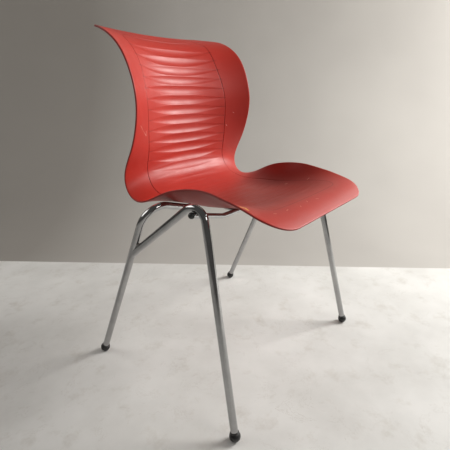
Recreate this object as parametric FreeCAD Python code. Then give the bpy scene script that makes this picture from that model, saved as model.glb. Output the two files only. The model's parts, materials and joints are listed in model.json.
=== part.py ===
"""Student desk chair: a one-piece moulded shell on a chromed tube frame.

Millimetres. The origin is on the floor at the middle of the four feet, +Z is up,
-Y is the front of the seat and +X is the sitter's left.
"""
import FreeCAD
import Part
import math
import os

# ---- overall sizes -----------------------------------------------------------
SEAT_HEIGHT = 424.0               # lowest point of the seat's sitting side
SHELL_HALF_WIDTH = 206.0          # widest half of the shell

# ---- shell -------------------------------------------------------------------
SHELL_THICKNESS = 4.2
SEAT_CORNER = (72.0, 62.0)        # front corners: reach across and along the shell
TOP_CORNER = (64.0, 54.0)         # corners of the top edge
# One row per cross-section, from the top edge down the back and along the seat:
# y of the middle of the sitter's side, its height above the seat's lowest point, how
# much less than the widest half it is there, how far the side edges stand out
# towards the sitter, and how late across the width that rise starts.
SHELL_SECTIONS = [
    (262.0, 375.0, 2.0, 9.5, 2.0),
    (222.0, 350.5, 2.0, 27.5, 2.0),
    (194.0, 312.0, 4.0, 55.5, 2.0),
    (179.0, 267.0, 6.0, 70.5, 2.0),
    (169.0, 202.0, 6.0, 72.5, 2.0),
    (161.5, 132.0, 4.0, 45.5, 2.0),
    (154.0, 69.0, 0.0, 5.0, 2.5),
    (144.0, 46.0, 0.0, -13.5, 4.0),
    (124.0, 24.0, 0.0, -20.0, 4.5),
    (96.0, 10.0, 0.0, -3.0, 5.0),
    (60.0, 2.0, 1.0, 22.0, 5.0),
    (10.0, 0.0, 5.0, 45.5, 5.0),
    (-40.0, 1.0, 10.0, 56.0, 5.5),
    (-88.0, 6.0, 11.0, 54.5, 5.0),
    (-128.0, 14.0, 9.0, 43.0, 4.5),
    (-165.0, 23.0, 7.0, 25.0, 4.0),
    (-200.0, 26.0, 5.0, 11.0, 3.0),
    (-236.0, 22.0, 3.0, 2.0, 2.0),
    (-264.0, 8.0, 3.0, 0.0, 2.0),
]
SECTION_STEPS = 5                 # points from the middle to a side edge

# ---- tubes -------------------------------------------------------------------
TUBE_DIAMETER = 16.0
TUBE_WALL = 1.6
ROD_DIAMETER = 11.0
LEG_BOTTOM_Z = 21.0               # cut end of each leg tube, on its axis
COPE_GAP = 0.15                   # weld gap between tubes that meet
COPE_HALF = 80.0                  # half the length of the cut that fits the brace

REAR_FOOT_OUT = 65.5              # glide centre outside the shell's half width
REAR_FOOT_Y = 223.0
REAR_SHOULDER_OUT = 45.5          # corner of the leg's top bend outside the shell
REAR_SHOULDER_Y = 24.5
REAR_SHOULDER_LIFT = 26.0         # that corner above the seat's lowest point
REAR_SHOULDER_RADIUS = 45.0
REAR_RUN_HALF = 130.0             # flat middle of the rear cross run
REAR_RUN_Y = 30.0
REAR_RUN_CLEARANCE = 1.1          # below the shell
REAR_RUN_BEND = 60.0

FRONT_FOOT_OUT = 60.0
FRONT_FOOT_Y = -220.2
FRONT_SHOULDER_OUT = 17.6
FRONT_SHOULDER_AHEAD = 15.3       # of the cross rod
FRONT_SHOULDER_RADIUS = 30.0
BRACE_DROP = 103.0                # end of the brace below the seat's lowest point

ROD_Y = -89.0
ROD_CLEARANCE = 0.5               # below the shell
ROD_LEG_GAP = 0.25                # between the rod and the bend that lies over it
ROD_FLAT_HALF = 145.0
ROD_SLOPE = 0.262                 # rise of the rod's ends, per unit of width
ROD_BEND = 45.0
ROD_CAP_WALL = 1.1
ROD_CAP_LENGTH = 8.5
ROD_CAP_DEPTH = 5.0               # how far the cap reaches over the rod
ROD_CAP_GAP = 3.9                 # from the front leg's tube to the cap, along x

# ---- glides ------------------------------------------------------------------
GLIDE_RADIUS = 11.8
GLIDE_CENTRE_Z = 11.3
GLIDE_COLLAR_WALL = 1.2           # how far the collar stands out from the tube
GLIDE_STEM_LENGTH = 22.0
GLIDE_STEM_CLEARANCE = 0.2

# ---- fixings -----------------------------------------------------------------
TAB_X = 85.0                      # middle of each mounting tab
TAB_WIDTH = 26.0
TAB_THICKNESS = 3.0
TAB_LIFT = 3.0                    # top of the rear tabs above the tube's axis
TAB_REACH = 27.0                  # from the tube's axis to the screw
SCREW_RADIUS = 2.5
SCREW_HEAD_RADIUS = 5.5
SCREW_HEAD_HEIGHT = 2.8
SCREW_COVER = 1.6                 # plastic left above the screw's tip
SCREW_HOLE_EXTRA = 0.4            # hole beyond the tip
PAD_RADIUS = 9.0
PAD_THICKNESS = 1.6
BOSS_RADIUS = 8.5
HOLE_CLEARANCE = 0.3
WELD_RADIUS = 4.5

TUBE_RADIUS = TUBE_DIAMETER / 2
ROD_RADIUS = ROD_DIAMETER / 2
ROD_CAP_RADIUS = ROD_RADIUS + ROD_CAP_WALL
BRACE_END_Z = SEAT_HEIGHT - BRACE_DROP
SIDES = (("left", 1), ("right", -1))
PLACES = ("rear", "front")


def vec(x, y, z):
    return FreeCAD.Vector(x, y, z)


def save(shape, name):
    shape.exportStep("parts/%s.step" % name)


# ---- paths and tubes ---------------------------------------------------------
def rounded_path(points, radii):
    """Straight runs joined by tangent arcs; radii are those of the inner points."""
    edges = []
    start = points[0]
    for before, corner, after, radius in zip(points, points[1:], points[2:], radii):
        into = (corner - before).normalize()
        out = (after - corner).normalize()
        half_turn = into.getAngle(out) / 2
        reach = radius * math.tan(half_turn)
        arc_start = corner - into * reach
        arc_end = corner + out * reach
        inward = (out - into).normalize()
        middle = corner + inward * (radius / math.cos(half_turn) - radius)
        edges.append(Part.LineSegment(start, arc_start).toShape())
        edges.append(Part.Arc(arc_start, middle, arc_end).toShape())
        start = arc_end
    edges.append(Part.LineSegment(start, points[-1]).toShape())
    return Part.Wire(edges)


def swept(path, radius):
    """Round solid of the given radius along a path."""
    first = path.Edges[0]
    start = first.valueAt(first.FirstParameter)
    direction = first.tangentAt(first.FirstParameter)
    ring = Part.Wire(Part.makeCircle(radius, start, direction))
    return path.makePipeShell([ring], True, False)


def hollow(path, diameter, wall):
    outside = swept(path, diameter / 2)
    return outside.cut(swept(path, diameter / 2 - wall))


def mirrored(shape):
    return shape.mirror(vec(0, 0, 0), vec(1, 0, 0))


def for_side(shape, side):
    """The shape is modelled on the left, at +X."""
    return shape if side > 0 else mirrored(shape)


# ---- frame lines, all on the left --------------------------------------------
def shell_bottom_z(y):
    """Height of the underside on the middle line, between the seat's sections."""
    seat = [(-row[0], row[1]) for row in SHELL_SECTIONS if row[0] < 70]
    for (y0, z0), (y1, z1) in zip(seat, seat[1:]):
        if y0 <= -y <= y1:
            lift = z0 + (z1 - z0) * (-y - y0) / (y1 - y0)
            return SEAT_HEIGHT + lift - SHELL_THICKNESS
    raise ValueError("no seat section at y = %s" % y)


def on_line(foot, shoulder, z):
    """Point at height z on the axis of a leg."""
    return foot + (shoulder - foot) * ((z - foot.z) / (shoulder.z - foot.z))


def flip(point):
    return vec(-point.x, point.y, point.z)


def leg_path(foot, shoulder, end):
    points = [on_line(foot, shoulder, LEG_BOTTOM_Z), shoulder, end]
    return rounded_path(points, [FRONT_SHOULDER_RADIUS])


REAR_RUN_Z = shell_bottom_z(REAR_RUN_Y) - REAR_RUN_CLEARANCE - TUBE_RADIUS
ROD_FLAT_Z = shell_bottom_z(ROD_Y) - ROD_CLEARANCE - ROD_RADIUS


def rod_z(x):
    return ROD_FLAT_Z + ROD_SLOPE * (x - ROD_FLAT_HALF)


FRONT_SHOULDER_X = SHELL_HALF_WIDTH + FRONT_SHOULDER_OUT
ROD_END_X = FRONT_SHOULDER_X + TUBE_RADIUS + ROD_CAP_GAP + ROD_CAP_DEPTH
ROD_END = vec(ROD_END_X, ROD_Y, rod_z(ROD_END_X))
ROD_BEND_POINT = vec(ROD_FLAT_HALF, ROD_Y, ROD_FLAT_Z)


def rod_path():
    points = [ROD_END, ROD_BEND_POINT, flip(ROD_BEND_POINT), flip(ROD_END)]
    return rounded_path(points, [ROD_BEND, ROD_BEND])


REAR_FOOT = vec(SHELL_HALF_WIDTH + REAR_FOOT_OUT, REAR_FOOT_Y, GLIDE_CENTRE_Z)
REAR_SHOULDER = vec(SHELL_HALF_WIDTH + REAR_SHOULDER_OUT, REAR_SHOULDER_Y,
                    SEAT_HEIGHT + REAR_SHOULDER_LIFT)
FRONT_FOOT = vec(SHELL_HALF_WIDTH + FRONT_FOOT_OUT, FRONT_FOOT_Y, GLIDE_CENTRE_Z)
BRACE_END = on_line(REAR_FOOT, REAR_SHOULDER, BRACE_END_Z)


def raised_front_shoulder():
    """Corner of the front leg's bend, at the height where the bend lies on the rod."""
    shoulder = vec(FRONT_SHOULDER_X, ROD_Y - FRONT_SHOULDER_AHEAD, ROD_END.z + TUBE_DIAMETER)
    wanted = TUBE_RADIUS + ROD_RADIUS + ROD_LEG_GAP
    rod = rod_path()
    for _ in range(6):
        path = leg_path(FRONT_FOOT, shoulder, BRACE_END)
        shoulder.z += wanted - path.distToShape(rod)[0]
    return shoulder


FRONT_SHOULDER = raised_front_shoulder()


def rear_bow_path():
    half = [
        on_line(REAR_FOOT, REAR_SHOULDER, LEG_BOTTOM_Z),
        REAR_SHOULDER,
        vec(REAR_RUN_HALF, REAR_RUN_Y, REAR_RUN_Z),
    ]
    radii = [REAR_SHOULDER_RADIUS, REAR_RUN_BEND]
    points = half + [flip(point) for point in reversed(half)]
    return rounded_path(points, radii + radii[::-1])


def front_leg_path():
    return leg_path(FRONT_FOOT, FRONT_SHOULDER, BRACE_END)


# ---- shell -------------------------------------------------------------------
def section_frames():
    """Middle, unit vector towards the sitter, half width, rise and lateness of each."""
    middles = [vec(0, row[0], SEAT_HEIGHT + row[1]) for row in SHELL_SECTIONS]
    spine = Part.BSplineCurve()
    spine.interpolate(middles)
    frames = []
    for middle, row in zip(middles, SHELL_SECTIONS):
        along = spine.tangent(spine.parameter(middle))[0]
        towards = vec(0, along.z, -along.y)
        frames.append((middle, towards, SHELL_HALF_WIDTH - row[2], row[3], row[4]))
    return frames


def section_wire(frame):
    """Closed outline of the shell across its width at one section."""
    middle, towards, half, rise, late = frame
    upper = []
    lower = []
    for step in range(-SECTION_STEPS, SECTION_STEPS + 1):
        share = abs(step) / SECTION_STEPS
        x = half * step / SECTION_STEPS
        height = rise * share ** late
        slope = rise * late * share ** (late - 1) / half
        slope = math.copysign(slope, x * rise) if slope else 0.0
        across = SHELL_THICKNESS / math.hypot(1, slope)
        upper.append(middle + towards * height + vec(x, 0, 0))
        lower.append(middle + towards * (height - across) + vec(x + across * slope, 0, 0))
    top_curve = Part.BSplineCurve()
    top_curve.interpolate(upper)
    low_curve = Part.BSplineCurve()
    low_curve.interpolate(lower)
    return Part.Wire([
        top_curve.toShape(),
        Part.LineSegment(upper[-1], lower[-1]).toShape(),
        low_curve.toShape(),
        Part.LineSegment(lower[0], upper[0]).toShape(),
    ])


def edge_point(frame):
    """Left edge of the sitter's side at one section."""
    middle, towards, half, rise, late = frame
    return middle + towards * rise + vec(half, 0, 0)


def corner_cutter(frame, neighbour, corner):
    """What lies outside the rounded left corner at an end section of the shell."""
    across, along = corner
    sharp = edge_point(frame)
    side = vec(-1, 0, 0)
    inward = (edge_point(neighbour) - sharp).normalize()
    square = inward.cross(side).normalize()
    over = 14.0
    depth = 60.0
    start = sharp + inward * along
    end = sharp + side * across
    bulge = 1 - math.sqrt(0.5)
    middle = sharp + side * (across * bulge) + inward * (along * bulge)
    outer = sharp - side * over - inward * over
    chain = [end, end - inward * over, outer, start - side * over, start]
    edges = [Part.Arc(start, middle, end).toShape()]
    for a, b in zip(chain, chain[1:]):
        edges.append(Part.LineSegment(a, b).toShape())
    face = Part.Face(Part.Wire(edges))
    face.translate(square * (-depth))
    return face.extrude(square * (2 * depth))


def screw_seat(place):
    """Point on top of the left mounting tab where its screw passes."""
    if place == "rear":
        return vec(TAB_X, REAR_RUN_Y - TAB_REACH, REAR_RUN_Z + TAB_LIFT)
    return vec(TAB_X, ROD_Y + TAB_REACH, ROD_FLAT_Z)


def screw_tip_z(seat):
    return shell_bottom_z(seat.y) + SHELL_THICKNESS - SCREW_COVER


def seat_shell():
    frames = section_frames()
    shell = Part.makeLoft([section_wire(frame) for frame in frames], True, False)
    top_corner = corner_cutter(frames[0], frames[1], TOP_CORNER)
    seat_corner = corner_cutter(frames[-1], frames[-2], SEAT_CORNER)
    corners = [top_corner, mirrored(top_corner), seat_corner, mirrored(seat_corner)]
    shell = shell.cut(Part.makeCompound(corners))
    bosses = []
    holes = []
    for place in PLACES:
        seat = screw_seat(place)
        low = seat + vec(0, 0, PAD_THICKNESS)
        boss_top = shell_bottom_z(seat.y) + SHELL_THICKNESS / 2
        boss = Part.makeCylinder(BOSS_RADIUS, boss_top - low.z, low)
        hole_top = screw_tip_z(seat) + SCREW_HOLE_EXTRA
        hole = Part.makeCylinder(SCREW_RADIUS, hole_top - low.z, low)
        bosses += [boss, mirrored(boss)]
        holes += [hole, mirrored(hole)]
    shell = shell.fuse(bosses)
    return shell.cut(Part.makeCompound(holes)).removeSplitter()


# ---- glides, caps and fixings ------------------------------------------------
def glide(foot, shoulder):
    tube_end = on_line(foot, shoulder, LEG_BOTTOM_Z)
    axis = (tube_end - foot).normalize()
    ball = Part.makeSphere(GLIDE_RADIUS, foot)
    collar_length = (tube_end - foot).Length
    collar = Part.makeCylinder(TUBE_RADIUS + GLIDE_COLLAR_WALL, collar_length, foot, axis)
    stem_radius = TUBE_RADIUS - TUBE_WALL - GLIDE_STEM_CLEARANCE
    stem = Part.makeCylinder(stem_radius, collar_length + GLIDE_STEM_LENGTH, foot, axis)
    below = Part.makeBox(60, 60, 30, foot - vec(30, 30, GLIDE_CENTRE_Z + 30))
    return ball.fuse([collar, stem]).cut(below).removeSplitter()


def rod_cap():
    """Domed plug over the end of the cross rod, turned about the rod's axis."""
    inner = ROD_RADIUS + HOLE_CLEARANCE / 2
    straight = ROD_CAP_LENGTH - ROD_CAP_RADIUS
    half = ROD_CAP_RADIUS * math.sqrt(0.5)
    corner = vec(ROD_CAP_RADIUS, 0, straight)
    tip = vec(0, 0, ROD_CAP_LENGTH)
    chain = [tip, vec(0, 0, ROD_CAP_DEPTH), vec(inner, 0, ROD_CAP_DEPTH), vec(inner, 0, 0),
             vec(ROD_CAP_RADIUS, 0, 0), corner]
    edges = [Part.Arc(corner, vec(half, 0, straight + half), tip).toShape()]
    for a, b in zip(chain, chain[1:]):
        edges.append(Part.LineSegment(a, b).toShape())
    cap = Part.Face(Part.Wire(edges)).revolve(vec(0, 0, 0), vec(0, 0, 1), 360)
    axis = (ROD_END - ROD_BEND_POINT).normalize()
    turn = FreeCAD.Rotation(vec(0, 0, 1), axis)
    cap.Placement = FreeCAD.Placement(ROD_END - axis * ROD_CAP_DEPTH, turn)
    return cap


def mounting_tab(seat, tube_y, tube_solid):
    far_y = seat.y + math.copysign(TAB_WIDTH / 2, seat.y - tube_y)
    corner = vec(TAB_X - TAB_WIDTH / 2, min(far_y, tube_y), seat.z - TAB_THICKNESS)
    plate = Part.makeBox(TAB_WIDTH, abs(far_y - tube_y), TAB_THICKNESS, corner)
    far_corners = [
        edge for edge in plate.Edges
        if abs(edge.CenterOfMass.y - far_y) < 0.01
        and abs(edge.CenterOfMass.z - (seat.z - TAB_THICKNESS / 2)) < 0.01
    ]
    plate = plate.makeFillet(TAB_WIDTH * 0.3, far_corners)
    through = 2 * TAB_THICKNESS
    hole = Part.makeCylinder(SCREW_RADIUS + HOLE_CLEARANCE, 2 * through, seat - vec(0, 0, through))
    return plate.cut(hole).cut(tube_solid)


def shell_pad(seat):
    pad = Part.makeCylinder(PAD_RADIUS, PAD_THICKNESS, seat)
    return pad.cut(Part.makeCylinder(SCREW_RADIUS + HOLE_CLEARANCE, PAD_THICKNESS, seat))


def shell_screw(seat):
    under = seat - vec(0, 0, TAB_THICKNESS)
    low = under - vec(0, 0, SCREW_HEAD_HEIGHT)
    head = Part.makeCylinder(SCREW_HEAD_RADIUS, SCREW_HEAD_HEIGHT, low)
    rims = [
        edge for edge in head.Edges
        if isinstance(edge.Curve, Part.Circle) and edge.CenterOfMass.z < under.z - 1
    ]
    head = head.makeFillet(SCREW_HEAD_HEIGHT * 0.45, rims)
    drive = Part.makeCylinder(SCREW_RADIUS * 0.7, SCREW_HEAD_HEIGHT * 0.5, low)
    shank = Part.makeCylinder(SCREW_RADIUS, screw_tip_z(seat) - under.z, under)
    return head.cut(drive).fuse(shank).removeSplitter()


def weld_bead(near_tube, near_point, far_tube, far_point):
    """Fillet of weld metal in the crotch between two tubes."""
    middle = (near_point + far_point) / 2
    return Part.makeSphere(WELD_RADIUS, middle).cut(near_tube).cut(far_tube)


def build():
    os.makedirs("parts", exist_ok=True)

    bow_outside = swept(rear_bow_path(), TUBE_RADIUS)
    rear_axis = (REAR_SHOULDER - REAR_FOOT).normalize()
    cope_start = BRACE_END - rear_axis * COPE_HALF
    cope = Part.makeCylinder(TUBE_RADIUS + COPE_GAP, 2 * COPE_HALF, cope_start, rear_axis)
    leg = hollow(front_leg_path(), TUBE_DIAMETER, TUBE_WALL).cut(cope)
    rod = swept(rod_path(), ROD_RADIUS)
    save(hollow(rear_bow_path(), TUBE_DIAMETER, TUBE_WALL), "rear_leg_bow")
    save(rod, "front_cross_rod")
    save(seat_shell(), "seat_shell")

    brace_axis = (FRONT_SHOULDER - BRACE_END).normalize()
    crotch = 2 * TUBE_RADIUS / math.sin(brace_axis.getAngle(rear_axis))
    bead = weld_bead(swept(front_leg_path(), TUBE_RADIUS), BRACE_END + brace_axis * crotch,
                     bow_outside, BRACE_END + rear_axis * crotch)
    save(bead.fuse(mirrored(bead)), "brace_welds")

    tubes = {"rear": (REAR_RUN_Y, bow_outside), "front": (ROD_Y, rod)}
    for side_name, side in SIDES:
        save(for_side(leg, side), "front_leg_%s" % side_name)
        save(for_side(glide(REAR_FOOT, REAR_SHOULDER), side), "rear_glide_%s" % side_name)
        save(for_side(glide(FRONT_FOOT, FRONT_SHOULDER), side), "front_glide_%s" % side_name)
        save(for_side(rod_cap(), side), "rod_cap_%s" % side_name)
        for place in PLACES:
            seat = screw_seat(place)
            label = "%s_%s" % (place, side_name)
            save(for_side(mounting_tab(seat, *tubes[place]), side), "mounting_tab_%s" % label)
            save(for_side(shell_pad(seat), side), "shell_pad_%s" % label)
            save(for_side(shell_screw(seat), side), "shell_screw_%s" % label)


build()
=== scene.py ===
"""Student desk chair: looks of the moulded shell and the chromed frame, in metres."""
import json
import math

import bpy
import numpy as np
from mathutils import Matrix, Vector


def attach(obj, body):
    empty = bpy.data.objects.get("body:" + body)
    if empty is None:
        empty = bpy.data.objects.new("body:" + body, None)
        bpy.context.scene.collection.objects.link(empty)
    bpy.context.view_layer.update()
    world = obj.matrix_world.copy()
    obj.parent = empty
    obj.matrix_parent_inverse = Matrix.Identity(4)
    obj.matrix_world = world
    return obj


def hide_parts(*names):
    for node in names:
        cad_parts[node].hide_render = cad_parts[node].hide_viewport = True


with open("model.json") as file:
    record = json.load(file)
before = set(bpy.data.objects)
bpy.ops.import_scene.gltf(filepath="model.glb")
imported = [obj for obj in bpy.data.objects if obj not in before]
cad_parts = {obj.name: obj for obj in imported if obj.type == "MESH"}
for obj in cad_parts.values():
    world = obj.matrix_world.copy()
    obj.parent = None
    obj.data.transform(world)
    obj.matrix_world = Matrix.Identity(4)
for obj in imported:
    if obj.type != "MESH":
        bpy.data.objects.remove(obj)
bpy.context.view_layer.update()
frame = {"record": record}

MM = 0.001

# ---- sizes of the shell, in millimetres ---------------------------------------
# y and z of the middle, half width, rise of the side edges, lateness of the rise.
# They are the design's, but for a later rise (2.3, not 2) in rows 3 to 6.
SHELL_SECTIONS = np.array([
    (262.0, 799.0, 204.0, 9.5, 2.0),
    (222.0, 774.5, 204.0, 27.5, 2.0),
    (194.0, 736.0, 202.0, 55.5, 2.3),
    (179.0, 691.0, 200.0, 70.5, 2.3),
    (169.0, 626.0, 200.0, 72.5, 2.3),
    (161.5, 556.0, 202.0, 45.5, 2.3),
    (154.0, 493.0, 206.0, 5.0, 2.5),
    (144.0, 470.0, 206.0, -13.5, 4.0),
    (124.0, 448.0, 206.0, -20.0, 4.5),
    (96.0, 434.0, 206.0, -3.0, 5.0),
    (60.0, 426.0, 205.0, 22.0, 5.0),
    (10.0, 424.0, 201.0, 45.5, 5.0),
    (-40.0, 425.0, 196.0, 56.0, 5.5),
    (-88.0, 430.0, 195.0, 54.5, 5.0),
    (-128.0, 438.0, 197.0, 43.0, 4.5),
    (-165.0, 447.0, 199.0, 25.0, 4.0),
    (-200.0, 450.0, 201.0, 11.0, 3.0),
    (-236.0, 446.0, 203.0, 2.0, 2.0),
    (-264.0, 432.0, 203.0, 0.0, 2.0),
])
THICKNESS = 4.2
RIM = 2.0                      # radius of the rounded rim
RIM_LIT_RINGS = 2              # rings of the rim that have the upper side's colour
TOP_CORNER = (62.0, 54.0)      # across, along
SEAT_CORNER = (66.0, 62.0)
PANEL_TOP = 33.0               # groove round the ribbed panel: along, from the top edge
PANEL_FRONT = 62.0             # along, from the front edge
PANEL_CORNER = 24.0
PANEL_HALF = 138.0
PANEL_WAIST = (7.0, 110.0, 50.0)    # how much narrower, where along, over what length
PANEL_SEAT = (9.0, 300.0, 420.0)    # how much wider on the seat, from where, to where
GROOVE_DEPTH = 1.0
GROOVE_HALF = 1.0
GROOVE_SHALLOW = (0.7, 520.0, 600.0)    # share of the depth lost on the seat, from, to
RIB_HALF = 135.0
RIB_FIRST = 72.5               # along the shell, from the top edge
RIB_PITCH = 23.4
RIB_COUNT = 28
RIB_DEPTH = 2.4
RIB_ABOVE = 0.47               # reach of a scoop past its tips, in pitches
RIB_BELOW = 0.51
RIB_DEEP_COUNT = 11            # scoops on the back; those on the seat are shallower
SEAT_RIB_LOSS = 0.72           # share of the depth that the seat's scoops lack
FILM_AND_SHADE_HALF = 200.0              # half width that the seat's dull film and its painted shade fade over
ROW_STEP = 1.15                # spacing of the mesh along the shell


# ---- smooth curves ------------------------------------------------------------
def natural_spline(knots, values):
    """Natural cubic spline through values (n by k); returns a function of position."""
    n = len(knots)
    gap = np.diff(knots)
    system = np.zeros((n, n))
    right = np.zeros_like(values)
    system[0, 0] = system[-1, -1] = 1
    for i in range(1, n - 1):
        system[i, i - 1:i + 2] = gap[i - 1], 2 * (gap[i - 1] + gap[i]), gap[i]
        right[i] = 6 * ((values[i + 1] - values[i]) / gap[i]
                        - (values[i] - values[i - 1]) / gap[i - 1])
    bend = np.linalg.solve(system, right)

    def at(where):
        where = np.asarray(where, float)
        i = np.clip(np.searchsorted(knots, where) - 1, 0, n - 2)
        h = gap[i][..., None]
        a = (knots[i + 1] - where)[..., None] / h
        b = 1 - a
        curve = ((a ** 3 - a) * bend[i] + (b ** 3 - b) * bend[i + 1]) * h ** 2 / 6
        return a * values[i] + b * values[i + 1] + curve
    return at


steps = np.linalg.norm(np.diff(SHELL_SECTIONS[:, :2], axis=0), axis=1)
knots = np.concatenate(([0.0], np.cumsum(steps)))
LENGTH = knots[-1]
section_at = natural_spline(knots, SHELL_SECTIONS)


def base_surface(x, s):
    """Sitter's side of the shell without its pattern; x across, s along, in mm."""
    row = section_at(s)
    ahead = section_at(s + 0.5)
    behind = section_at(s - 0.5)
    along = ahead[..., :2] - behind[..., :2]
    along /= np.linalg.norm(along, axis=-1, keepdims=True)
    share = np.abs(x) / row[..., 2]
    height = row[..., 3] * share ** row[..., 4]
    y = row[..., 0] + height * along[..., 1]
    z = row[..., 1] - height * along[..., 0]
    return np.stack([x, y, z], -1)


def surface_normal(x, s):
    """Unit vector square to the shell, towards the sitter."""
    step = 0.5
    across = base_surface(x + step, s) - base_surface(x - step, s)
    along = base_surface(x, s + step) - base_surface(x, s - step)
    normal = np.cross(along, across)
    return normal / np.linalg.norm(normal, axis=-1, keepdims=True)


def smooth(low, high, value):
    """Eased step from 0 at low to 1 at high; it also runs down if high is lower."""
    t = np.clip((value - low) / (high - low), 0, 1)
    return t * t * (3 - 2 * t)


def panel_half(s):
    """Half width of the panel, a little waisted near its top and wider on the seat."""
    narrower, place, length = PANEL_WAIST
    wider, start, end = PANEL_SEAT
    waist = narrower * np.exp(-((s - place) / length) ** 2)
    return PANEL_HALF - waist + wider * smooth(start, end, s)


def groove_distance(x, s):
    """Distance from the fine line round the panel, along the surface."""
    middle = (PANEL_TOP + LENGTH - PANEL_FRONT) / 2
    reach = (LENGTH - PANEL_FRONT - PANEL_TOP) / 2
    dx = np.abs(x) - (panel_half(s) - PANEL_CORNER)
    ds = np.abs(s - middle) - (reach - PANEL_CORNER)
    outside = np.hypot(np.maximum(dx, 0), np.maximum(ds, 0))
    return np.abs(outside + np.minimum(np.maximum(dx, ds), 0) - PANEL_CORNER)


def groove(x, s):
    """Depth of the line, a narrow V that is shallower on the seat."""
    loss, start, end = GROOVE_SHALLOW
    deep = GROOVE_DEPTH * (1 - loss * smooth(start, end, s))
    return deep * np.clip(1 - groove_distance(x, s) / GROOVE_HALF, 0, 1)


def crevice(x, s):
    """Share of darkening in the line and at the sharp ends between the scoops."""
    line = 0.85 * np.clip(1 - groove_distance(x, s) / GROOVE_HALF, 0, 1)
    crest = np.abs((s - RIB_FIRST) / RIB_PITCH % 1.0 - 0.5)
    out = np.abs(x) / RIB_HALF
    between = smooth(0.40, 0.5, crest) * smooth(0.80, 0.97, out) * smooth(1.06, 1.0, out)
    between *= s < RIB_FIRST + RIB_DEEP_COUNT * RIB_PITCH
    return np.maximum(line, 0.35 * between)


def seat_film_and_shade(x, s):
    """Share of the dull film where people sit, partly wear and partly painted shade, fading
    out towards the front lip.
    """
    along = smooth(430, 560, s) * (1 - 0.9 * smooth(690, 770, s))
    return along * 0.55 * (1 - 0.5 * smooth(0.6, 1.0, np.abs(x) / FILM_AND_SHADE_HALF))


def ribs(x, s):
    """Depth of the row of lens-shaped scoops across the panel."""
    depth = np.zeros_like(s)
    open_share = 1 - (x / RIB_HALF) ** 2
    for k in range(RIB_COUNT):
        tip = RIB_FIRST + k * RIB_PITCH
        strength = 1 - SEAT_RIB_LOSS * smooth(RIB_DEEP_COUNT - 0.5, RIB_DEEP_COUNT + 2, k)
        above = tip - RIB_ABOVE * RIB_PITCH * open_share
        below = tip + RIB_BELOW * RIB_PITCH * open_share
        share = (s - above) / np.maximum(below - above, 1e-6)
        scoop = 4 * share * (1 - share) * open_share
        inside = (open_share > 0) & (share > 0) & (share < 1)
        depth = np.where(inside, RIB_DEPTH * strength * scoop, depth)
    return depth


# ---- mesh helpers -------------------------------------------------------------
def new_object(name, vertices, faces):
    """Smooth-shaded mesh object in the scene."""
    mesh = bpy.data.meshes.new(name)
    mesh.from_pydata([tuple(v) for v in vertices], [], faces)
    mesh.validate()
    mesh.update()
    mesh.shade_smooth()
    obj = bpy.data.objects.new(name, mesh)
    bpy.context.scene.collection.objects.link(obj)
    return obj


def corner_loss(distance, corner):
    """How much narrower the shell is at a distance from its end edge."""
    across, along = corner
    t = np.clip(distance / along, 0, 1)
    return across * (1 - np.sqrt(1 - (1 - t) ** 2))


def shell_rows():
    """Places along the shell: closer at both ends and at the groove's ends."""
    turns = np.linspace(0, math.pi / 2, 22)
    top = RIM + TOP_CORNER[1] * (1 - np.cos(turns))
    front = LENGTH - RIM - SEAT_CORNER[1] * (1 - np.cos(turns))
    middle = np.arange(top[-1], front[-1], ROW_STEP)
    near = np.arange(-2.0, 2.1, 0.5)
    rows = np.concatenate([top, middle, front, near + PANEL_TOP, near + LENGTH - PANEL_FRONT])
    rows = np.sort(rows)
    keep = [rows[0]]
    for value in rows[1:]:
        if value - keep[-1] > 0.3:
            keep.append(value)
    keep[-1] = LENGTH - RIM
    return np.array(keep)


def shell_columns(rows, row_half):
    """Places across the shell for every row (rows by columns)."""
    line = np.minimum(panel_half(rows), row_half - 6)[:, None]
    inner = np.linspace(0, 1, 50) * (line - 2)
    band = line + np.arange(-1.5, 1.6, 0.5)
    outer = line + 2 + (row_half[:, None] - line - 2) * np.linspace(0, 1, 22)
    right = np.concatenate([inner, band, outer], axis=1)
    return np.concatenate([-right[:, :0:-1], right], axis=1)


def store(obj, name, values):
    """Keeps a number for each vertex, for a material to read."""
    obj.data.attributes.new(name, "FLOAT", "POINT").data.foreach_set("value", values)


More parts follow.
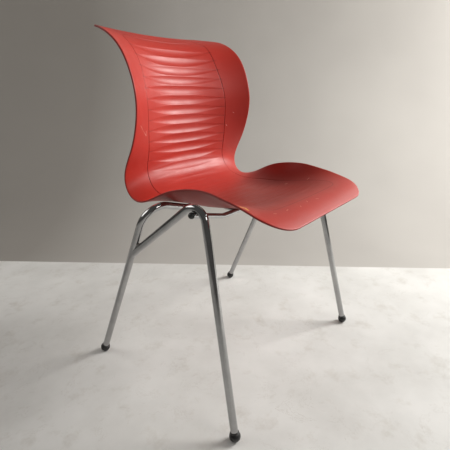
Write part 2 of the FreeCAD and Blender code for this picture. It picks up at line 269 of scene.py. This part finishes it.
def make_shell():
    """Moulding as one closed mesh: upper sheet, lower sheet and a rounded rim."""
    rows = shell_rows()
    half = section_at(rows)[:, 2] - RIM
    half = half - corner_loss(rows - RIM, TOP_CORNER)
    half = half - corner_loss(LENGTH - RIM - rows, SEAT_CORNER)
    x = shell_columns(rows, half)
    s = np.broadcast_to(rows[:, None], x.shape)
    base = base_surface(x, s)
    normal = surface_normal(x, s)
    depth = groove(x, s) + ribs(x, s)
    top = base - normal * depth[..., None]
    low = base - normal * THICKNESS
    n, m = x.shape

    edge = [(0, j) for j in range(m)] + [(i, m - 1) for i in range(1, n)]
    edge += [(n - 1, j) for j in range(m - 2, -1, -1)] + [(i, 0) for i in range(n - 2, 0, -1)]
    rim_rows = np.array([i for i, j in edge])
    rim_cols = np.array([j for i, j in edge])
    rim_top = top[rim_rows, rim_cols]
    rim_low = low[rim_rows, rim_cols]
    rim_up = normal[rim_rows, rim_cols]
    tangent = np.roll(rim_top, -1, 0) - np.roll(rim_top, 1, 0)
    outward = np.cross(rim_up, tangent)
    outward /= np.linalg.norm(outward, axis=1, keepdims=True)
    centre = (rim_top + rim_low) / 2
    inside = base.mean(axis=(0, 1))
    if ((rim_top - inside) * outward).sum() < 0:
        outward = -outward
    turns = np.linspace(0, math.pi, 9)[1:-1]
    rings = [
        centre + rim_up * (THICKNESS / 2 * math.cos(t)) + outward * (RIM * math.sin(t))
        for t in turns
    ]

    vertices = np.concatenate([top.reshape(-1, 3), low.reshape(-1, 3)] + rings) * MM
    faces = []
    for i in range(n - 1):
        for j in range(m - 1):
            a = i * m + j
            faces.append((a, a + m, a + m + 1, a + 1))
    above = len(faces)
    for a, b, c, d in faces[:above]:
        faces.append((n * m + d, n * m + c, n * m + b, n * m + a))
    below = len(faces)
    count = len(edge)
    top_loop = [i * m + j for i, j in edge]
    low_loop = [n * m + v for v in top_loop]
    loops = [top_loop]
    loops += [[2 * n * m + r * count + k for k in range(count)] for r in range(len(rings))]
    loops.append(low_loop)
    for upper, lower in zip(loops, loops[1:]):
        for k in range(count):
            after = (k + 1) % count
            faces.append((upper[k], upper[after], lower[after], lower[k]))
    shell = new_object("shell_moulding", vertices, faces)
    crevice_dark = np.zeros(len(vertices))
    crevice_dark[:n * m] = crevice(x, s).ravel()
    store(shell, "crevice_dark", crevice_dark)
    # dull film on the seat: partly wear, partly painted shade
    film_and_shade = np.zeros(len(vertices))
    film_and_shade[:n * m] = seat_film_and_shade(x, s).ravel()
    store(shell, "film_and_shade", film_and_shade)
    shell.data.materials.append(red_plastic())
    shell.data.materials.append(underside_plastic())
    lit_rim = below + RIM_LIT_RINGS * count
    dark = [0] * above + [1] * (below - above) + [0] * (lit_rim - below)
    dark += [1] * (len(faces) - lit_rim)
    shell.data.polygons.foreach_set("material_index", dark)
    return shell


# ---- materials ----------------------------------------------------------------
class Nodes:
    """Small helper that adds nodes to a material and links them."""

    def __init__(self, name):
        self.material = bpy.data.materials.new(name)
        self.material.use_nodes = True
        self.tree = self.material.node_tree
        self.shader = self.tree.nodes["Principled BSDF"]
        self.place = self.add("ShaderNodeTexCoord").outputs["Object"]

    def add(self, kind, **values):
        node = self.tree.nodes.new(kind)
        for key, value in values.items():
            setattr(node, key, value)
        return node

    def link(self, source, target):
        self.tree.links.new(source, target)

    def set(self, **values):
        for key, value in values.items():
            self.shader.inputs[key.replace("_", " ")].default_value = value

    def noise(self, scale, detail=4.0, rough=0.55):
        node = self.add("ShaderNodeTexNoise")
        node.inputs["Scale"].default_value = scale
        node.inputs["Detail"].default_value = detail
        node.inputs["Roughness"].default_value = rough
        self.link(self.place, node.inputs["Vector"])
        return node.outputs["Fac"]

    def ramp(self, source, stops):
        node = self.add("ShaderNodeValToRGB")
        while len(node.color_ramp.elements) < len(stops):
            node.color_ramp.elements.new(0.5)
        for element, (at, colour) in zip(node.color_ramp.elements, stops):
            element.position = at
            element.color = (*colour, 1)
        self.link(source, node.inputs["Fac"])
        return node.outputs["Color"]

    def mix(self, share, base, colour):
        """Puts a fixed colour over a base by a share; 0, 6 and 7 are the RGBA sockets."""
        node = self.add("ShaderNodeMix", data_type="RGBA")
        self.link(share, node.inputs[0])
        self.link(base, node.inputs[6])
        node.inputs[7].default_value = (*colour, 1)
        return node.outputs[2]

    def range(self, source, low, high, start=0.0, end=1.0):
        node = self.add("ShaderNodeMapRange")
        node.inputs["From Min"].default_value = start
        node.inputs["From Max"].default_value = end
        node.inputs["To Min"].default_value = low
        node.inputs["To Max"].default_value = high
        self.link(source, node.inputs["Value"])
        return node.outputs["Result"]

    def bump(self, source, strength, distance, after=None):
        node = self.add("ShaderNodeBump")
        node.inputs["Strength"].default_value = strength
        node.inputs["Distance"].default_value = distance
        self.link(source, node.inputs["Height"])
        if after:
            self.link(after, node.inputs["Normal"])
        return node.outputs["Normal"]


# Colours of the marks worn into the shell
PALE = (0.80, 0.36, 0.30)
YELLOW = (0.95, 0.58, 0.07)


def on_shell(x, s):
    """Point of the sitter's side, in metres."""
    return [float(v) * MM for v in base_surface(np.array(float(x)), np.array(float(s)))]


def shell_marks():
    """Scuffs and chips: ends across and along the shell in mm, half width, colour."""
    return [
        ((-176, 246), (-150, 268), 0.9, PALE),
        ((-150, 268), (-149, 258), 0.7, PALE),
        ((144, 262), (146, 265), 1.0, PALE),
        ((160, 230), (163, 232), 0.8, PALE),
        ((128, 600), (133, 604), 1.2, PALE),
        ((150, 655), (158, 657), 0.8, PALE),
        ((-26, 744), (-30, 748), 0.9, PALE),
        ((4, 750), (10, 753), 0.8, PALE),
        ((-64, 750), (-68, 754), 0.8, PALE),
        ((-106, 746), (-112, 747), 1.0, PALE),
        ((-150, 742), (-146, 745), 0.9, PALE),
        ((-193, 700), (-184, 703), 2.4, YELLOW),
        ((-184, 703), (-189, 713), 2.2, YELLOW),
    ]


def add_mark(m, colour, first, second, half, paint_colour):
    """Blends a short worn line between two points into a colour."""
    a = on_shell(*first)
    b = on_shell(*second)
    along = np.array(b) - np.array(a)
    length = float(np.linalg.norm(along))
    axis = along / length
    relative = m.add("ShaderNodeVectorMath", operation="SUBTRACT")
    m.link(m.place, relative.inputs[0])
    relative.inputs[1].default_value = a
    reach = m.add("ShaderNodeVectorMath", operation="DOT_PRODUCT")
    m.link(relative.outputs[0], reach.inputs[0])
    reach.inputs[1].default_value = [float(v) for v in axis]
    held = m.add("ShaderNodeClamp")
    held.inputs["Max"].default_value = length
    m.link(reach.outputs["Value"], held.inputs["Value"])
    foot = m.add("ShaderNodeVectorMath", operation="SCALE")
    foot.inputs[0].default_value = [float(v) for v in axis]
    m.link(held.outputs["Result"], foot.inputs["Scale"])
    apart = m.add("ShaderNodeVectorMath", operation="DISTANCE")
    m.link(relative.outputs[0], apart.inputs[0])
    m.link(foot.outputs[0], apart.inputs[1])
    share = m.range(apart.outputs["Value"], 0.8, 0.0, 0.4 * half * MM, 1.3 * half * MM)
    return m.mix(share, colour, paint_colour)


def red_plastic():
    """Worn red moulding, darker in the line and between the scoops."""
    m = Nodes("red_plastic")
    cloud = m.noise(7.0, 5.0)
    colour = m.ramp(cloud, [(0.3, (0.50, 0.034, 0.023)), (0.7, (0.57, 0.042, 0.028))])
    film_and_shade = m.add("ShaderNodeAttribute", attribute_name="film_and_shade")
    # darker, browner seat: partly a dull worn film, partly painted shade
    colour = m.mix(film_and_shade.outputs["Fac"], colour, (0.215, 0.050, 0.038))
    crevice_dark = m.add("ShaderNodeAttribute", attribute_name="crevice_dark")
    # darker red in the line and at the ends between the scoops
    colour = m.mix(crevice_dark.outputs["Fac"], colour, (0.13, 0.012, 0.009))
    for first, second, half, paint_colour in shell_marks():
        colour = add_mark(m, colour, first, second, half, paint_colour)
    m.link(colour, m.shader.inputs["Base Color"])
    smudge = m.noise(22.0, 6.0, 0.65)
    m.link(m.range(smudge, 0.37, 0.47, 0.3, 0.7), m.shader.inputs["Roughness"])
    m.set(Specular_IOR_Level=0.38)
    grain = m.noise(1400.0, 2.0)
    wave = m.bump(m.noise(24.0, 2.0), 0.08, 0.002)
    m.link(m.bump(grain, 0.12, 0.0002, wave), m.shader.inputs["Normal"])
    return m.material


def underside_plastic():
    """Darker red for the back and underside, which the photograph shows in shade."""
    m = Nodes("maroon_underside")
    cloud = m.noise(12.0, 5.0)
    m.link(m.ramp(cloud, [(0.3, (0.27, 0.026, 0.020)), (0.7, (0.33, 0.033, 0.025))]),
           m.shader.inputs["Base Color"])
    m.link(m.range(m.noise(60.0, 4.0), 0.42, 0.58), m.shader.inputs["Roughness"])
    m.link(m.bump(m.noise(900.0, 3.0), 0.25, 0.0003), m.shader.inputs["Normal"])
    return m.material


def chrome():
    """Darker than real chrome: a painted dark reflection, because the studio here is paler
    than the real room.
    """
    m = Nodes("chrome_plate")
    cloud = m.noise(30.0, 5.0)
    # darker base colour is a painted reflection of a darker room
    m.link(m.ramp(cloud, [(0.3, (0.36, 0.36, 0.365)), (0.7, (0.45, 0.45, 0.45))]),
           m.shader.inputs["Base Color"])
    m.link(m.range(cloud, 0.04, 0.11, 0.35, 0.75), m.shader.inputs["Roughness"])
    m.link(m.bump(m.noise(90.0, 3.0), 0.05, 0.0005), m.shader.inputs["Normal"])
    m.set(Metallic=1.0)
    return m.material


def dark_material(name, colour, rough, grain_scale, grain):
    m = Nodes(name)
    cloud = m.noise(60.0, 4.0)
    lighter = tuple(min(1.0, c * 1.8 + 0.004) for c in colour)
    m.link(m.ramp(cloud, [(0.35, colour), (0.75, lighter)]), m.shader.inputs["Base Color"])
    m.link(m.range(cloud, rough - 0.06, rough + 0.1), m.shader.inputs["Roughness"])
    m.link(m.bump(m.noise(grain_scale, 3.0), grain, 0.0004), m.shader.inputs["Normal"])
    return m.material


def plated_steel(name, colour, rough):
    m = Nodes(name)
    cloud = m.noise(140.0, 4.0)
    darker = tuple(c * 0.6 for c in colour)
    m.link(m.ramp(cloud, [(0.3, darker), (0.7, colour)]), m.shader.inputs["Base Color"])
    m.link(m.range(cloud, rough - 0.08, rough + 0.12), m.shader.inputs["Roughness"])
    m.link(m.bump(m.noise(700.0, 3.0), 0.2, 0.0003), m.shader.inputs["Normal"])
    m.set(Metallic=1.0)
    return m.material


# ---- stage --------------------------------------------------------------------
TOWARDS_WALL = Vector((0.795, 0.607, 0.0))
ALONG_WALL = Vector((0.607, -0.795, 0.0))
MAT_EDGE = 0.457               # where the pale floor ends, beyond the origin
MIDDLE = (0, 0, 0.5)           # what the lights point at


def pale_floor():
    """Scuffed pale studio paper."""
    m = Nodes("pale_floor")
    cloud = m.noise(4.0, 6.0, 0.6)
    colour = m.ramp(cloud, [(0.30, (0.69, 0.685, 0.655)), (0.55, (0.80, 0.797, 0.77)),
                            (0.75, (0.87, 0.865, 0.84))])
    patch = m.noise(13.0, 8.0, 0.7)
    stain = m.range(patch, 0.0, 0.34, 0.54, 0.70)
    colour = m.mix(stain, colour, (0.46, 0.42, 0.35))
    thread = m.noise(7.0, 7.0, 0.75)
    thread.node.inputs["Distortion"].default_value = 1.6
    line = m.add("ShaderNodeMath", operation="COMPARE")
    line.inputs[1].default_value = 0.41
    line.inputs[2].default_value = 0.004
    m.link(thread, line.inputs[0])
    faint = m.range(line.outputs[0], 0.0, 0.30, 0.0, 1.0)
    colour = m.mix(faint, colour, (0.36, 0.31, 0.25))
    m.link(colour, m.shader.inputs["Base Color"])
    m.link(m.range(patch, 0.5, 0.7), m.shader.inputs["Roughness"])
    m.link(m.bump(patch, 0.15, 0.002), m.shader.inputs["Normal"])
    return m.material


def grey_backdrop():
    """Hanging cloth, with painted shadow darkening its left end."""
    m = Nodes("grey_backdrop")
    cloud = m.noise(1.4, 3.0)
    colour = m.ramp(cloud, [(0.3, (0.47, 0.45, 0.42)), (0.7, (0.53, 0.51, 0.475))])
    side = m.add("ShaderNodeVectorMath", operation="DOT_PRODUCT")
    m.link(m.place, side.inputs[0])
    side.inputs[1].default_value = ALONG_WALL
    # painted shadow: darker towards the left end
    share = m.range(side.outputs["Value"], 0.65, 0.0, -0.90, -0.35)
    colour = m.mix(share, colour, (0.22, 0.20, 0.175))
    m.link(colour, m.shader.inputs["Base Color"])
    m.link(m.range(cloud, 0.8, 0.95), m.shader.inputs["Roughness"])
    return m.material


def make_stage():
    """Pale floor that sweeps up into a backdrop well clear of the chair."""
    profile = [(-5.0, 0.0), (-2.0, 0.0), (0.0, 0.0), (MAT_EDGE, 0.0)]
    radius = 1.15
    start = MAT_EDGE + 0.002
    steps_up = 24
    for k in range(steps_up + 1):
        turn = k / steps_up * math.pi / 2
        profile.append((start + radius * math.sin(turn),
                        radius * (1 - math.cos(turn)) - 0.0005))
    profile.append((start + radius, 4.0))
    vertices = []
    for side in (-6.0, 6.0):
        for out, up in profile:
            point = TOWARDS_WALL * out + ALONG_WALL * side
            vertices.append((point.x, point.y, up))
    count = len(profile)
    faces = [(k, k + 1, count + k + 1, count + k) for k in range(count - 1)]
    floor = new_object("stage_floor", vertices, faces)
    floor.data.materials.append(pale_floor())
    floor.data.materials.append(grey_backdrop())
    for face in floor.data.polygons:
        face.material_index = 0 if face.index < 3 else 1


def area_light(name, place, target, size, energy, colour):
    light = bpy.data.lights.new(name, "AREA")
    light.shape = "RECTANGLE"
    light.size, light.size_y = size
    light.energy = energy
    light.color = colour
    obj = bpy.data.objects.new(name, light)
    obj.location = place
    aim = Vector(target) - Vector(place)
    obj.rotation_euler = aim.to_track_quat("-Z", "Y").to_euler()
    bpy.context.scene.collection.objects.link(obj)


def around(turn, lift, reach):
    """Point round the chair's middle: turn from -Y towards +X and lift, in degrees."""
    turn = math.radians(turn)
    lift = math.radians(lift)
    flat = reach * math.cos(lift)
    return (flat * math.sin(turn), -flat * math.cos(turn), MIDDLE[2] + reach * math.sin(lift))


def make_lights():
    area_light("window", around(55, 27, 2.8), MIDDLE, (1.2, 0.9), 86, (1, 0.98, 0.955))
    area_light("lamp", around(5, 28, 2.6), MIDDLE, (0.9, 0.6), 9, (1, 0.97, 0.94))
    area_light("fill", around(215, 35, 2.8), MIDDLE, (1.6, 1.4), 17, (1, 0.98, 0.96))
    world = bpy.data.worlds.new("room")
    world.use_nodes = True
    background = world.node_tree.nodes["Background"]
    background.inputs["Color"].default_value = (0.42, 0.40, 0.38, 1)
    background.inputs["Strength"].default_value = 0.24
    bpy.context.scene.world = world


def make_camera():
    """Camera fitted to the chair as the photograph shows it."""
    data = bpy.data.cameras.new("camera")
    data.sensor_width = 36.0
    data.lens = 29.453
    camera = bpy.data.objects.new("camera", data)
    camera.location = (-0.7049, -0.5562, 0.6644)
    camera.rotation_euler = (math.radians(70.051), 0, math.radians(-50.495))
    bpy.context.scene.collection.objects.link(camera)
    bpy.context.scene.camera = camera


# ---- making it ----------------------------------------------------------------
def paint(name, material):
    obj = bpy.data.objects[name]
    for slot in obj.material_slots:
        slot.material = material
    if not obj.material_slots:
        obj.data.materials.append(material)


make_camera()
make_stage()
make_lights()
bpy.context.scene.view_settings.view_transform = "Standard"

shell = make_shell()
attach(shell, "root")
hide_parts("seat_shell")

MATERIALS = {
    "chrome_tube": chrome(),
    "black_plastic": dark_material("black_plastic", (0.012, 0.012, 0.012), 0.32, 500.0, 0.15),
    "pad_rubber": dark_material("pad_rubber", (0.02, 0.02, 0.02), 0.75, 900.0, 0.3),
    "screw_steel": plated_steel("zinc_screw", (0.62, 0.62, 0.6), 0.3),
    "tab_steel": plated_steel("tab_steel", (0.6, 0.6, 0.61), 0.22),
    "weld_steel": plated_steel("weld_steel", (0.5, 0.48, 0.45), 0.35),
}
for part in frame["record"]["subparts"]:
    if part["material_slot"] in MATERIALS:
        paint(part["node"], MATERIALS[part["material_slot"]])
